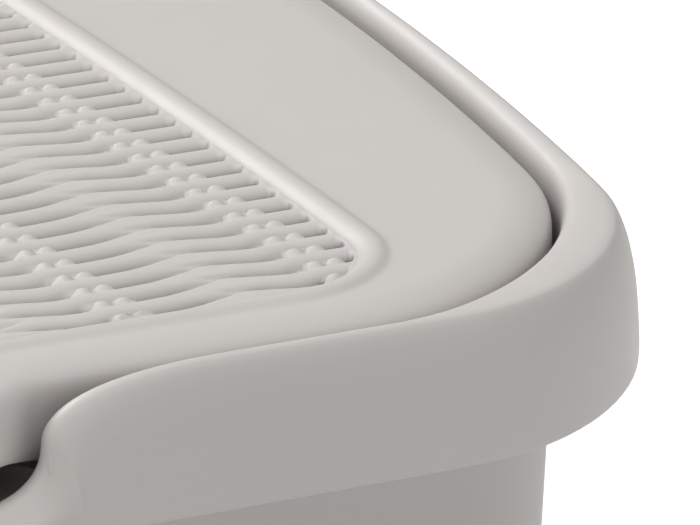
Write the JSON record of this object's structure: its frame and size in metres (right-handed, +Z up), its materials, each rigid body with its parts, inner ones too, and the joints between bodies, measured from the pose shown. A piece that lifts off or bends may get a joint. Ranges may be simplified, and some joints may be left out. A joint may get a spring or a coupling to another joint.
{
  "type": "hooded cat litter box",
  "caption": "Tapered litter pan under a hood with a hanging swing door, side clips, a rolled rim dipped at the front, and a hinged lid with a woven vent panel over a carbon filter.",
  "frame": {"origin": "middle of the footprint, on the floor", "axes": "+Z up, the door and the dip in the rim face -Y, +X is to the right of someone facing the back from the front"},
  "size_m": [0.41, 0.54, 0.3907],
  "materials": {
    "pan_plastic": "satin, finely grained",
    "hood_plastic": "satin, finely grained",
    "rim_plastic": "satin, finely grained",
    "trim_plastic": "satin",
    "lid_plastic": "satin, finely grained",
    "weave_plastic": "satin, moulded weave",
    "clip_plastic": "satin",
    "pin_plastic": "smooth",
    "door_plastic": "frosted, see-through",
    "carbon_filter": "needled felt",
    "foot_rubber": "soft, matte"
  },
  "bodies": {
    "base": {"litter_pan": "pan_plastic", "hood_shell": "hood_plastic", "top_rim": "rim_plastic", "door_frame": "trim_plastic", "door_axle": "pin_plastic", "lid_hinge_pin_left": "pin_plastic", "lid_hinge_pin_right": "pin_plastic", "clip_pin_left": "pin_plastic", "clip_pin_right": "pin_plastic", "foot_front_left": "foot_rubber", "foot_front_right": "foot_rubber", "foot_rear_left": "foot_rubber", "foot_rear_right": "foot_rubber"},
    "lid": {"top_lid": "lid_plastic", "woven_panel": "weave_plastic", "filter_pad": "carbon_filter", "filter_cover": "trim_plastic"},
    "door": {"swing_door": "door_plastic"},
    "clip_left": {"side_clip_left": "clip_plastic"},
    "clip_right": {"side_clip_right": "clip_plastic"}
  },
  "joints": [
    {"name": "lid_hinge", "type": "hinge", "parent": "base", "child": "lid", "pos_m": [0, 0.222, 0.38], "axis": [-1, 0, 0], "range_deg": [0, 100]},
    {"name": "door_swing", "type": "hinge", "parent": "base", "child": "door", "pos_m": [0, -0.244, 0.318], "axis": [1, 0, 0], "range_deg": [-75, 75]},
    {"name": "clip_left_hinge", "type": "hinge", "parent": "base", "child": "clip_left", "pos_m": [-0.1848, 0, 0.158], "axis": [0, 1, 0], "range_deg": [0, 75]},
    {"name": "clip_right_hinge", "type": "hinge", "parent": "base", "child": "clip_right", "pos_m": [0.1848, 0, 0.158], "axis": [0, -1, 0], "range_deg": [0, 75]}
  ]
}
